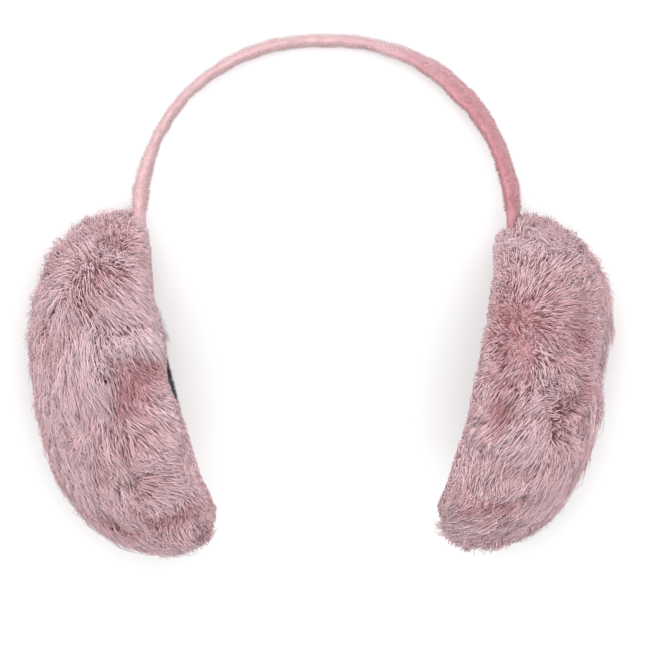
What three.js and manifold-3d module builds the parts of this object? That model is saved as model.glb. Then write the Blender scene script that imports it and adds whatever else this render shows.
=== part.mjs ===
// Fur earmuffs: a springy band in a fleece sleeve with a deep-fur pad and a dark lining at each ear.
// Millimetres. The shape is worked out upright, x to the photograph's right, y up to the crown and
// z to the front, and then laid on its back on z = 0, where both pads' fur is pressed flat.
import * as THREE from "three";
import Module from "manifold-3d";

const wasm = await Module();
wasm.setup();
const { Manifold, Mesh } = wasm;

// Headband: the centreline is a superellipse arch over the head with a straight leg into each pad.
const ARCH_HALF_WIDTH = 73;
const ARCH_HEIGHT = 72;
const ARCH_EXPONENT = 2.2;
const LEG_LENGTH = 18;
const BAND_WIDTH = 16;
const BAND_THICKNESS = 3.4;
const BAND_STATIONS = 56;
const BAND_SIDES = 12;

// Pads: height along the head, depth front to back and thickness out from the rim, before the locks.
// Their lower ends tilt in, and their front edges toe in, by angles in degrees. The right pad is a
// little shorter and its rim nearer the head. A pad's skew thickens its lower half by that share.
const PAD_HALF_HEIGHT = 61;
const PAD_HALF_DEPTH = 50;
const LEFT_THICKNESS = 52.5;
const RIGHT_THICKNESS = 49.2;
const RIGHT_HEIGHT_SHARE = 0.965;
const RIM_HEIGHT = 14;
const RIM_HALF_GAP = ARCH_HALF_WIDTH - 18.5;
const RIGHT_RIM_NEARER = 1.2;
const PAD_DROP = ARCH_HEIGHT + 57.6;
const LEFT_TILT = 13.8;
const RIGHT_TILT = 12;
const PAD_TOE = 2.5;
const DOME_EXPONENT = 2.02;
const LEFT_SKEW = 0.08;
const RIGHT_SKEW = -0.01;
const FACE_SAG = 9.5;
const PAD_SEGMENTS = 24;

// Locks of fur.
const LOCK_LENGTH = 31;
const LOCK_WIDTH = 14;
const LOCK_THICKNESS = 7;
const LOCK_LIFT = 7.5;
const LOCKS = 68;

// Lining: a thin crowned panel inside the rim.
const LINING_SHARE = 0.68;
const LINING_THICKNESS = 1.6;
const LINING_CROWN = 4.2;
const LINING_SEGMENTS = 28;

const CLEARANCE = 0.3;
const SMALLEST_DETAIL = 0.15;
const PAD_PRESS = 2.4;
const BAND_PRESS = 0.15;

// Sleeve along half the band: at is the share of the way from the crown (0) to a leg's end (1, and
// -1 on the left). thick is a share of the thickness, wide of the width, twist is in degrees, and
// inward moves the sleeve to the head's side by a share of the thickness.
const SLEEVE = [
  { at: -1.0, thick: 1.2, wide: 0.8, twist: 0, inward: 0 },
  { at: -0.86, thick: 1.45, wide: 0.95, twist: -3, inward: 0 },
  { at: -0.74, thick: 1.4, wide: 1.0, twist: -3, inward: 0 },
  { at: -0.62, thick: 0.98, wide: 1.0, twist: -1, inward: 0.1 },
  { at: -0.4, thick: 0.92, wide: 1.0, twist: 0, inward: 0.15 },
  { at: -0.15, thick: 1.08, wide: 0.98, twist: 0, inward: 0 },
  { at: 0.1, thick: 1.1, wide: 0.98, twist: 1, inward: 0 },
  { at: 0.2, thick: 1.12, wide: 1.0, twist: 8, inward: 0.1 },
  { at: 0.32, thick: 1.2, wide: 1.02, twist: 14, inward: 0.2 },
  { at: 0.43, thick: 1.3, wide: 1.04, twist: 17, inward: 0.35 },
  { at: 0.52, thick: 1.25, wide: 1.02, twist: 15, inward: 0.3 },
  { at: 0.64, thick: 1.2, wide: 1.0, twist: 13, inward: 0.2 },
  { at: 0.78, thick: 1.35, wide: 1.0, twist: 10, inward: 0 },
  { at: 0.88, thick: 1.4, wide: 0.95, twist: 6, inward: 0 },
  { at: 1.0, thick: 1.2, wide: 0.8, twist: 0, inward: 0 },
];

// Soft gathers across the sleeve: tall is a share of the thickness, long of half the band.
const GATHERS = [
  { at: -0.79, tall: 0.1, long: 0.03 },
  { at: -0.68, tall: 0.08, long: 0.03 },
  { at: 0.4, tall: 0.12, long: 0.03 },
  { at: 0.47, tall: 0.16, long: 0.03 },
  { at: 0.55, tall: 0.1, long: 0.03 },
  { at: 0.74, tall: 0.1, long: 0.04 },
];

// The pad's inner side from the rim's bulge to the middle: out is a share of the half height and
// half depth, rise a share of the rim's height above its crest.
const INNER_SIDE = [
  { out: 1.0, rise: 1.0 },
  { out: 0.985, rise: 0.6 },
  { out: 0.945, rise: 0.24 },
  { out: 0.87, rise: 0.03 },
  { out: 0.79, rise: 0.06 },
  { out: 0.7, rise: 0.1 },
  { out: 0.35, rise: -0.25 },
];

// A lock's width, thickness and lift at shares of its length.
const LOCK_FORM = [
  { along: 0.0, wide: 0.72, thick: 1.0, lift: -0.45 },
  { along: 0.36, wide: 1.0, thick: 1.0, lift: 0.45 },
  { along: 0.72, wide: 0.72, thick: 0.7, lift: 0.85 },
  { along: 1.0, wide: 0.0, thick: 0.0, lift: 1.0 },
];

// Whorls the fur springs from: down is a share of the half height, out of the pad's thickness.
const LEFT_WHORLS = [{ down: -0.56, out: 0.46, reach: 17 }];
const RIGHT_WHORLS = [
  { down: -0.3, out: 0.3, reach: 15 },
  { down: 0.06, out: 0.66, reach: 9 },
];

// What sets each pad apart: its side is -1 for the left one and 1 for the right.
const LEFT_PAD = {
  side: -1,
  thickness: LEFT_THICKNESS,
  rim: RIM_HALF_GAP,
  tall: 1,
  tilt: LEFT_TILT,
  skew: LEFT_SKEW,
  whorls: LEFT_WHORLS,
};
const RIGHT_PAD = {
  side: 1,
  thickness: RIGHT_THICKNESS,
  rim: RIM_HALF_GAP - RIGHT_RIM_NEARER,
  tall: RIGHT_HEIGHT_SHARE,
  tilt: RIGHT_TILT,
  skew: RIGHT_SKEW,
  whorls: RIGHT_WHORLS,
};

const DEGREE = Math.PI / 180;
const GOLDEN_ANGLE = Math.PI * (3 - Math.sqrt(5));

// A repeatable number from 0 to 1 for each whole number.
function chance(index) {
  const x = Math.sin(index * 127.1 + 11.7) * 43758.5453;
  return x - Math.floor(x);
}

// The value of a named column at a position, smoothly between the rows of a table.
function column(rows, key, at, name) {
  if (at <= rows[0][key]) return rows[0][name];
  for (let i = 1; i < rows.length; i++) {
    if (at > rows[i][key]) continue;
    const share = (at - rows[i - 1][key]) / (rows[i][key] - rows[i - 1][key]);
    return THREE.MathUtils.lerp(rows[i - 1][name], rows[i][name], share * share * (3 - 2 * share));
  }
  return rows[rows.length - 1][name];
}

// A closed solid from vertices and triangles, turned outward if they face in.
function solidFrom(points, triangles) {
  let six = 0;
  for (const [a, b, c] of triangles) {
    six += points[a].dot(new THREE.Vector3().crossVectors(points[b], points[c]));
  }
  const faces = six < 0 ? triangles.map(([a, b, c]) => [a, c, b]) : triangles;
  const vertProperties = new Float32Array(points.flatMap((p) => [p.x, p.y, p.z]));
  return new Manifold(new Mesh({ numProp: 3, vertProperties, triVerts: new Uint32Array(faces.flat()) }));
}

// A closed solid through rings of points, each end closed by its first or last point.
function ringSolid(start, rings, end) {
  const count = rings[0].length;
  const points = [start, ...rings.flat(), end];
  const last = points.length - 1;
  const triangles = [];
  for (let j = 0; j < count; j++) {
    const next = (j + 1) % count;
    triangles.push([0, 1 + next, 1 + j]);
    triangles.push([last, last - count + j, last - count + next]);
    for (let i = 0; i + 1 < rings.length; i++) {
      const near = 1 + i * count;
      const far = near + count;
      triangles.push([near + j, near + next, far + next]);
      triangles.push([near + j, far + next, far + j]);
    }
  }
  return solidFrom(points, triangles);
}

// The largest of a solid's bodies, which also drops what a sealed hollow would leave.
function largest(solid) {
  const bodies = solid.decompose();
  return bodies.reduce((best, body) => (body.volume() > best.volume() ? body : best));
}

// Points of the band's centreline at equal steps from the left leg's end to the right one's.
function bandPath() {
  const power = 2 / ARCH_EXPONENT;
  const dense = [];
  for (let i = 0; i <= 1600; i++) {
    const angle = (i / 1600 - 0.5) * Math.PI;
    const x = ARCH_HALF_WIDTH * Math.sign(angle) * Math.abs(Math.sin(angle)) ** power;
    const y = ARCH_HEIGHT * (Math.max(Math.cos(angle), 0) ** power - 1);
    dense.push(new THREE.Vector2(x, y));
  }
  dense.unshift(new THREE.Vector2(-ARCH_HALF_WIDTH, -ARCH_HEIGHT - LEG_LENGTH));
  dense.push(new THREE.Vector2(ARCH_HALF_WIDTH, -ARCH_HEIGHT - LEG_LENGTH));
  const lengths = [0];
  for (let i = 1; i < dense.length; i++) {
    lengths.push(lengths[i - 1] + dense[i].distanceTo(dense[i - 1]));
  }
  const total = lengths[lengths.length - 1];
  const path = [];
  let k = 1;
  for (let i = 0; i <= BAND_STATIONS; i++) {
    const want = (total * i) / BAND_STATIONS;
    while (k < dense.length - 1 && lengths[k] < want) k++;
    const share = (want - lengths[k - 1]) / (lengths[k] - lengths[k - 1]);
    path.push(dense[k - 1].clone().lerp(dense[k], THREE.MathUtils.clamp(share, 0, 1)));
  }
  return path;
}

// The band as a sweep of a soft oval along its path, grown all round by a margin.
function bandSolid(margin) {
  const path = bandPath();
  const rings = [];
  for (let i = 0; i <= BAND_STATIONS; i++) {
    const at = (2 * i) / BAND_STATIONS - 1;
    const before = path[Math.max(i - 1, 0)];
    const after = path[Math.min(i + 1, BAND_STATIONS)];
    const along = after.clone().sub(before).normalize();
    const outward = new THREE.Vector3(-along.y, along.x, 0);
    const front = new THREE.Vector3(0, 0, 1);
    const twist = column(SLEEVE, "at", at, "twist") * DEGREE;
    const thin = outward.clone().multiplyScalar(Math.cos(twist)).addScaledVector(front, Math.sin(twist));
    const wide = front.clone().multiplyScalar(Math.cos(twist)).addScaledVector(outward, -Math.sin(twist));
    let gather = 0;
    for (const fold of GATHERS) gather += fold.tall * Math.exp(-(((at - fold.at) / fold.long) ** 2));
    const thickness = BAND_THICKNESS * (column(SLEEVE, "at", at, "thick") + gather);
    const halfThickness = thickness / 2 + margin;
    const halfWidth = (BAND_WIDTH / 2) * column(SLEEVE, "at", at, "wide") + margin;
    const end = margin * (i === 0 ? -1 : i === BAND_STATIONS ? 1 : 0);
    const centre = new THREE.Vector3(path[i].x + along.x * end, path[i].y + along.y * end, 0);
    centre.addScaledVector(outward, -BAND_THICKNESS * column(SLEEVE, "at", at, "inward"));
    const ring = [];
    for (let j = 0; j < BAND_SIDES; j++) {
      const angle = ((j + 0.5) / BAND_SIDES) * 2 * Math.PI;
      const c = Math.cos(angle);
      const s = Math.sin(angle);
      const across = Math.sign(c) * Math.abs(c) ** 0.75 * halfWidth;
      const through = Math.sign(s) * Math.abs(s) ** 0.75 * halfThickness;
      ring.push(centre.clone().addScaledVector(wide, across).addScaledVector(thin, through));
    }
    rings.push(ring);
  }
  const middle = (ring) => ring.reduce((sum, p) => sum.add(p), new THREE.Vector3()).divideScalar(ring.length);
  return ringSolid(middle(rings[0]), rings, middle(rings[BAND_STATIONS]));
}

// Pad space: x runs down the pad, y to the front, z out from the rim's plane. A pad's smooth body
// is a superellipsoid dome there, and bend gives it its skew and the sag of its inner side.
function domeLevel(p, pad) {
  const across = Math.hypot(p.x / PAD_HALF_HEIGHT, p.y / PAD_HALF_DEPTH);
  const reach = p.z > RIM_HEIGHT ? pad.thickness - RIM_HEIGHT : RIM_HEIGHT * 1.15;
  const height = (p.z - RIM_HEIGHT) / reach;
  return (across ** DOME_EXPONENT + Math.abs(height) ** DOME_EXPONENT) ** (1 / DOME_EXPONENT);
}

// The point where a ray from the dome's centre through p meets its surface.
function ontoDome(p, pad) {
  const centre = new THREE.Vector3(0, 0, RIM_HEIGHT);
  return p.clone().sub(centre).divideScalar(domeLevel(p, pad)).add(centre);
}

function domeNormal(p, pad) {
  const step = 0.5;
  const slope = (dx, dy, dz) => {
    const forward = domeLevel(new THREE.Vector3(p.x + dx, p.y + dy, p.z + dz), pad);
    return forward - domeLevel(new THREE.Vector3(p.x - dx, p.y - dy, p.z - dz), pad);
  };
  return new THREE.Vector3(slope(step, 0, 0), slope(0, step, 0), slope(0, 0, step)).normalize();
}

function bend(p, pad) {
  const down = p.x / PAD_HALF_HEIGHT;
  const high = THREE.MathUtils.clamp((p.z - RIM_HEIGHT) / (pad.thickness - RIM_HEIGHT), 0, 1);
  const sag = FACE_SAG * (1 - Math.min(down * down, 1)) * (1 - high);
  return new THREE.Vector3(p.x, p.y, p.z * (1 + pad.skew * down * high) + sag);
}

function padBody(pad) {
  const ringAt = (out, z) => {
    const ring = [];
    for (let j = 0; j < PAD_SEGMENTS; j++) {
      const angle = (j / PAD_SEGMENTS) * 2 * Math.PI;
      const x = PAD_HALF_HEIGHT * out * Math.cos(angle);
      const y = PAD_HALF_DEPTH * out * Math.sin(angle);
      ring.push(bend(new THREE.Vector3(x, y, z), pad));
    }
    return ring;
  };
  const power = 2 / DOME_EXPONENT;
  const rings = [];
  for (let i = 1; i <= 5; i++) {
    const angle = (i / 6) * (Math.PI / 2);
    const height = RIM_HEIGHT + (pad.thickness - RIM_HEIGHT) * Math.cos(angle) ** power;
    rings.push(ringAt(Math.sin(angle) ** power, height));
  }
  for (const row of INNER_SIDE) rings.push(ringAt(row.out, RIM_HEIGHT * row.rise));
  const pole = bend(new THREE.Vector3(0, 0, pad.thickness), pad);
  const inside = INNER_SIDE[INNER_SIDE.length - 1].rise * RIM_HEIGHT;
  return ringSolid(pole, rings, bend(new THREE.Vector3(0, 0, inside), pad));
}

// Which way the fur lies at a point of the dome, as a vector along its surface that is shorter where
// the fur stands up: away from the whorls nearby, else down and towards the rim.
function furWay(p, normal, pad) {
  const way = new THREE.Vector3(0.94, 0, -0.34);
  for (const whorl of pad.whorls) {
    const x = whorl.down * PAD_HALF_HEIGHT;
    const z = whorl.out * pad.thickness;
    const high = Math.abs((z - RIM_HEIGHT) / (pad.thickness - RIM_HEIGHT)) ** DOME_EXPONENT;
    const across = (1 - high) ** (2 / DOME_EXPONENT) - whorl.down ** 2;
    const y = PAD_HALF_DEPTH * Math.sqrt(Math.max(across, 0.05)) * (p.y < 0 ? -1 : 1);
    const away = p.clone().sub(new THREE.Vector3(x, y, z));
    const near = Math.exp(-((away.length() / whorl.reach) ** 2));
    way.lerp(away.normalize(), near);
  }
  return way.addScaledVector(normal, -way.dot(normal));
}

function lockSolid(root, index, pad) {
  const length = LOCK_LENGTH * (0.8 + 0.4 * chance(index + 200));
  const width = LOCK_WIDTH * (0.85 + 0.3 * chance(index + 400));
  const lift = LOCK_LIFT * (0.8 + 0.35 * chance(index + 600));
  const rings = [];
  const side = new THREE.Vector3();
  let surface = root;
  let walked = 0;
  let tip = root;
  for (const row of LOCK_FORM) {
    while (walked < row.along * length - 1e-6) {
      const step = Math.min(3, row.along * length - walked);
      const way = furWay(surface, domeNormal(surface, pad), pad);
      surface = ontoDome(surface.clone().addScaledVector(way, step), pad);
      walked += step;
    }
    const normal = domeNormal(surface, pad);
    const way = furWay(surface, normal, pad);
    if (row.along === 0) side.crossVectors(normal, way);
    side.addScaledVector(normal, -side.dot(normal)).normalize();
    const stand = 1 + 0.3 * (1 - Math.min(way.length(), 1));
    const centre = surface.clone().addScaledVector(normal, lift * row.lift * stand);
    tip = bend(centre, pad);
    if (row.wide === 0) continue;
    const corners = [
      centre.clone().addScaledVector(side, (width / 2) * row.wide),
      centre.clone().addScaledVector(normal, (LOCK_THICKNESS / 2) * row.thick),
      centre.clone().addScaledVector(side, (-width / 2) * row.wide),
      centre.clone().addScaledVector(normal, (-LOCK_THICKNESS / 2) * row.thick),
    ];
    rings.push(corners.map((p) => bend(p, pad)));
  }
  const base = rings[0].reduce((sum, p) => sum.add(p), new THREE.Vector3()).divideScalar(4);
  return ringSolid(base, rings, tip);
}

// A lining plate in pad space: its outline share grows by a margin, and it runs from front to back.
function liningPlate(margin, front, back) {
  const surface = (share, offset) => {
    const ring = [];
    for (let j = 0; j < LINING_SEGMENTS; j++) {
      const angle = (j / LINING_SEGMENTS) * 2 * Math.PI;
      const x = (PAD_HALF_HEIGHT * LINING_SHARE + margin) * share * Math.cos(angle);
      const y = (PAD_HALF_DEPTH * LINING_SHARE + margin) * share * Math.sin(angle);
      ring.push(new THREE.Vector3(x, y, liningFace(x, share) + offset));
    }
    return ring;
  };
  const shares = [0.35, 0.7, 1];
  const rings = shares.map((share) => surface(share, front));
  rings.push(...shares.toReversed().map((share) => surface(share, back)));
  const centre = (offset) => new THREE.Vector3(0, 0, liningFace(0, 0) + offset);
  return ringSolid(centre(front), rings, centre(back));
}

function liningFace(x, share) {
  const down = x / PAD_HALF_HEIGHT;
  return 0.1 * RIM_HEIGHT + LINING_CROWN * (share * share - 1) + FACE_SAG * (1 - down * down);
}

// A solid from pad space to upright space.
function placed(solid, pad) {
  const c = Math.cos(pad.tilt * DEGREE);
  const s = Math.sin(pad.tilt * DEGREE);
  const { side, rim } = pad;
  const matrix = [-side * s, -c, 0, 0, 0, 0, 1, 0, side * c, -s, 0, 0, side * rim, -PAD_DROP, 0, 1];
  return solid.scale([pad.tall, 1, 1]).rotate([-PAD_TOE, 0, 0]).transform(matrix);
}

function earFur(pad) {
  const pieces = [padBody(pad)];
  for (let i = 0; i < LOCKS; i++) {
    const share = (i + 0.6) / LOCKS;
    const polar = Math.acos(1 - 1.12 * share);
    const around = i * GOLDEN_ANGLE + (pad.side > 0 ? 0 : 0.6);
    const x = PAD_HALF_HEIGHT * Math.sin(polar) * Math.cos(around);
    const y = PAD_HALF_DEPTH * Math.sin(polar) * Math.sin(around);
    const z = RIM_HEIGHT + (pad.thickness - RIM_HEIGHT) * Math.cos(polar);
    const root = ontoDome(new THREE.Vector3(x, y, z), pad);
    pieces.push(lockSolid(root, i + (pad.side > 0 ? 1000 : 0), pad));
  }
  const pocket = liningPlate(CLEARANCE, -2 * RIM_HEIGHT, LINING_THICKNESS + CLEARANCE);
  const furred = placed(largest(Manifold.union(pieces)).subtract(pocket), pad);
  return largest(furred.subtract(bandSolid(CLEARANCE)).simplify(SMALLEST_DETAIL));
}

function earLining(pad) {
  return placed(liningPlate(0, 0, LINING_THICKNESS), pad);
}

// Lean back from upright by an angle, and the lowest point of a solid then.
function leaned(solid, lean) {
  return solid.rotate([-lean, 0, 0]);
}

function lowest(solid, lean) {
  return leaned(solid, lean).boundingBox().min[2];
}

// The lean at which the pressed pad bodies and the back edge of the crown reach one plane.
function restLean(band, bodies) {
  let low = 5;
  let high = 45;
  for (let i = 0; i < 30; i++) {
    const lean = (low + high) / 2;
    const pads = Math.min(...bodies.map((body) => lowest(body, lean))) + PAD_PRESS;
    const crown = lowest(band, lean) + BAND_PRESS;
    if (crown > pads) low = lean;
    else high = lean;
  }
  return (low + high) / 2;
}

const upright = {
  headband: bandSolid(0),
  left_ear_fur: earFur(LEFT_PAD),
  right_ear_fur: earFur(RIGHT_PAD),
  left_ear_lining: earLining(LEFT_PAD),
  right_ear_lining: earLining(RIGHT_PAD),
};
const bodies = [LEFT_PAD, RIGHT_PAD].map((pad) => placed(padBody(pad), pad));
const lean = restLean(upright.headband, bodies);
const floor = lowest(upright.headband, lean) + BAND_PRESS;

const laid = {};
for (const [name, solid] of Object.entries(upright)) {
  const cut = leaned(solid, lean).translate([0, 0, -floor]).trimByPlane([0, 0, 1], 0);
  laid[name] = largest(cut.simplify(0.01));
}
const box = Manifold.union(Object.values(laid)).boundingBox();
const middle = [-(box.min[0] + box.max[0]) / 2, -(box.min[1] + box.max[1]) / 2, 0];

const FINISH = {
  headband: { color: 0xdfa8ad, roughness: 0.95 },
  left_ear_fur: { color: 0xc49ea4, roughness: 0.9 },
  right_ear_fur: { color: 0xc49ea4, roughness: 0.9 },
  left_ear_lining: { color: 0x3a3638, roughness: 0.95 },
  right_ear_lining: { color: 0x3a3638, roughness: 0.95 },
};

function meshOf(name, solid) {
  const made = solid.translate(middle).getMesh();
  const positions = new Float32Array(made.numVert * 3);
  for (let i = 0; i < made.numVert; i++) {
    positions.set(made.vertProperties.subarray(i * made.numProp, i * made.numProp + 3), i * 3);
  }
  const geometry = new THREE.BufferGeometry();
  geometry.setAttribute("position", new THREE.BufferAttribute(positions, 3));
  geometry.setIndex(new THREE.BufferAttribute(new Uint32Array(made.triVerts), 1));
  geometry.computeVertexNormals();
  const material = new THREE.MeshStandardMaterial({ ...FINISH[name], metalness: 0 });
  const mesh = new THREE.Mesh(geometry, material);
  mesh.name = name;
  return mesh;
}

const earmuffs = new THREE.Group();
for (const [name, solid] of Object.entries(laid)) earmuffs.add(meshOf(name, solid));

export default earmuffs;
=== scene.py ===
"""Fur earmuffs lying on their back: a fleece-covered spring band, two deep-fur pads and their linings.

Shapes are worked out upright in millimetres, x to the photograph's right, y up to the crown and z to
the front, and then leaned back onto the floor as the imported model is.
"""

import math

import bpy
import numpy as np
from mathutils import Matrix, Vector


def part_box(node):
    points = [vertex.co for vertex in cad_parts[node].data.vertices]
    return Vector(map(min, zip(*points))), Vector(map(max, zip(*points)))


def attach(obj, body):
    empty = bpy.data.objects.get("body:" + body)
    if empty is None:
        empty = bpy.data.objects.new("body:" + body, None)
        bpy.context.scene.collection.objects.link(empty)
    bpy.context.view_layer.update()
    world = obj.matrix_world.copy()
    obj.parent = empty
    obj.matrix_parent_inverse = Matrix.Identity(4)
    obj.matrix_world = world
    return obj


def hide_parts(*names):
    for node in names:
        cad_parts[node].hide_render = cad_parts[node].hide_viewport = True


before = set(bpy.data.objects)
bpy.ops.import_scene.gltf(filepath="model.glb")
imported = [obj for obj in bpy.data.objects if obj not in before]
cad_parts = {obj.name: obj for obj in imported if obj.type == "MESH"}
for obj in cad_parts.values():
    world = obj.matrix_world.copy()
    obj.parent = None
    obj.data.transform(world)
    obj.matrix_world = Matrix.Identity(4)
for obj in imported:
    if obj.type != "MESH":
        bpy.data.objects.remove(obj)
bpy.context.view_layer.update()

MM = 0.001

# How near the floor a pad's body, the cloth and the fur's strands come. Pressed strands lie within
# FLOOR_LOFT over that and are pushed outward by a share of how far they would be under it.
FLOOR_GAP = 0.15
CLOTH_FLOOR = 0.02
STRAND_FLOOR = 0.3
FLOOR_LOFT = 0.9
FLOOR_SPREAD = 0.7

# Headband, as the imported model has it.
ARCH_HALF_WIDTH = 73.0
ARCH_HEIGHT = 72.0
ARCH_EXPONENT = 2.2
LEG_LENGTH = 18.0
BAND_WIDTH = 16.0
BAND_THICKNESS = 3.4
BAND_PRESS = 0.15
PACKED_BAND_RINGS = 57
PACKED_BAND_SIDES = 12

# The lean is looked for between these angles, in degrees, by halving.
LEAN_RANGE = (5, 45)
LEAN_HALVINGS = 40

# The sleeve here is finer: the steps of its arch, its rings and sides, how square its section is, its
# soft folds, each a height and a size, and the fine puckers on the inside of its shoulders.
ARCH_STEPS = 1601
BAND_RINGS = 320
BAND_SIDES = 32
SECTION_POWER = 0.75
SLEEVE_FOLDS = ((0.22, 9.0), (0.1, 3.2))
SHOULDER_AT = 0.5
SHOULDER_REACH = 0.16
PUCKER_HEIGHT = 0.3
PUCKER_WAVES = 75
PUCKER_FLOOR = -0.3

# Pads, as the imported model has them.
PAD_HALF_HEIGHT = 61.0
PAD_HALF_DEPTH = 50.0
RIM_HEIGHT = 14.0
RIM_HALF_GAP = ARCH_HALF_WIDTH - 18.5
RIGHT_RIM_NEARER = 1.2
PAD_DROP = ARCH_HEIGHT + 57.6
PAD_TOE = math.radians(2.5)
DOME_EXPONENT = 2.02
FACE_SAG = 9.5

# Linings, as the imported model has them.
LINING_SHARE = 0.68
LINING_THICKNESS = 1.6
LINING_CROWN = 4.2
LINING_SEAT = 0.1

# Grids over a pad, for the fur's roots and for the body under it, and over a lining. The innermost
# BARE_ROWS of the roots' grid carry no fur. A lining's face rolls back past LINING_EDGE of the way to
# its outline, and the body stays behind it as far as POCKET_SHARE.
DOME_ROWS = 40
POLE_ANGLE = 0.01
ROOT_SEGMENTS = 96
ROOT_INNER_ROWS = 30
BARE_ROWS = 6
BODY_SEGMENTS = 84
BODY_INNER_ROWS = 44
LINING_SEGMENTS = 64
LINING_ROWS = 22
LINING_EDGE = 0.94
POCKET_SHARE = 1.02

# Layers of fur on each pad: how many strands, their length and height over the pad, their radius,
# how unevenly they point, how far they gather into clumps, how flat they lie and the shares of a
# strand where it bends.
FUR_LAYERS = [
    {"strands": 9000, "length": 19.0, "height": 10.4, "radius": 0.17, "scatter": 0.13, "gather": 0.4,
     "lie": 1.0, "shares": (0.0, 0.42, 0.76, 1.0)},
    {"strands": 36000, "length": 15.0, "height": 9.8, "radius": 0.17, "scatter": 0.18, "gather": 0.32,
     "lie": 1.0, "shares": (0.0, 0.5, 1.0)},
    {"strands": 14000, "length": 8.5, "height": 6.4, "radius": 0.26, "scatter": 0.3, "gather": 0.1,
     "lie": 0.5, "shares": (0.0, 0.5, 1.0)},
]
FUR_TONE = 0.62
PIECES_PER_PAD = 3

# The way fur lies where nothing turns it, down the pad and towards the head, and the waves in it, each
# a share and a size.
FUR_FLOW = (0.94, 0.0, -0.34)
FLOW_WAVES = ((0.2, 34), (0.3, 13))

# Fur of a tuft shares a turn, a height and a tone. Fur of a clump shares a tone too, and gathers
# towards the clump's guide, the more so the nearer its tips.
TUFTS = 260
TUFT_SCATTER = 0.2
TUFT_HEIGHTS = (0.86, 1.14)
CLUMPS = 1500
CLUMP_REACH = 7.0
CLUMP_POWER = 1.3
GUIDE_SCATTER = 0.1
GROUP_TONE = 0.06

# How strands differ in length, height, tone and thickness, with the ends of each spread, and the broad
# clouds in their tone, a share and a size.
LENGTH_SCATTER = 0.15
LENGTH_ENDS = (0.6, 1.4)
HEIGHT_SCATTER = 0.09
HEIGHT_ENDS = (0.6, 1.3)
TONE_SCATTER = 0.08
TONE_ENDS = (0.02, 0.98)
TONE_CLOUDS = (0.05, 26)
THICKNESS_ENDS = (0.75, 1.25)

# At a share of its way a strand is over the surface by its height times RISE of that share, less FALL
# of the share to a power. It droops by its length's square over DROOP, starts ROOT_DEPTH under the
# surface and is taller by STAND_GAIN where it stands. Each further ring is thinner by STRAND_TAPER.
RISE = 2.9
FALL = 2.2
FALL_POWER = 1.6
DROOP = 150.0
ROOT_DEPTH = 1.0
STAND_GAIN = 0.4
STRAND_TAPER = 0.45

# The edge sizes are those of fur whose roots face the head, at a pad's rim. As the roots turn outward
# from EDGE_FACING, over FACING_OVER, it grows to its full sizes. The trims hold its tips back at the
# rim, most of all towards the lower end.
EDGE_LENGTH = 7.0
EDGE_HEIGHT = 2.8
EDGE_FACING = -0.85
FACING_OVER = 0.9
RIM_TRIM = 0.8
END_TRIM = 2.5
END_TRIM_FROM = 0.7
END_TRIM_OVER = 0.2
SHORTEST_TRIM = 0.42

# Fur at a whorl's middle stands up by STANDING, within a share of the whorl's reach, and fur at a pad's
# lower end by END_STANDING, where it is a little shorter too.
STANDING = 0.2
STANDING_SHARE = 0.4
END_STANDING = 0.3
END_HEIGHT = 0.925
END_FROM = 0.72
END_OVER = 0.25

# Spots of fur that reach up to twice PARTING_REACH are partings. Fur that meets one at a stop along its
# way ends at PARTING_SHARE of the way there. The gain and the start make a parting's edge sharp.
PARTING_REACH = 4.0
PARTING_STOPS = (0.35, 0.6, 0.85)
PARTING_GAIN = 2.2
PARTING_START = 0.4
PARTING_SHARE = 0.8

# The slit is where the left lining shows, its place and reach as shares of the half height.
SLIT_PLACE = -0.02
SLIT_REACH = 0.11

# Nap of the band and the linings. The brushes bend its way and the clouds its tone, each a share and a
# size. The band's stays clear of its ends, and has a painted highlight on the outside of the arch and
# painted shade on the right, from a share of the arch's half width and over another.
BAND_NAP = 21000
BAND_NAP_LENGTH = 1.3
BAND_NAP_ENDS = 0.09
BAND_NAP_SCATTER = 0.35
BAND_BRUSH = (0.5, 12)
BAND_CLOUDS = (0.08, 7)
BAND_TONE = 0.62
OUTSIDE_PAINTED_HIGHLIGHT = 0.28
RIGHT_PAINTED_SHADE = 0.6
RIGHT_FROM = 0.3
RIGHT_OVER = 0.5
LINING_NAP = 4500
LINING_NAP_LENGTH = 1.7
LINING_NAP_REACH = 0.99
LINING_NAP_SCATTER = 0.25
LINING_BRUSHES = ((0.35, 14), (0.3, 12))
LINING_CLOUDS = (0.12, 9)
NAP_RADIUS = 0.11
NAP_ROOT = 0.15
NAP_TONE = 0.12

# Soft unevenness is a sum of this many waves, their sizes spread between these shares.
RIPPLE_WAVES = 7
RIPPLE_SIZES = (0.7, 1.6)

# Ways that few strands lie along, from which their sections are set out, and the step in tone between
# the corners of a section.
STRAND_CROSS = (0.31, 0.55, 0.77)
NAP_CROSS = (0.37, 0.21, 0.9)
CORNER_TONE = 0.002

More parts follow.
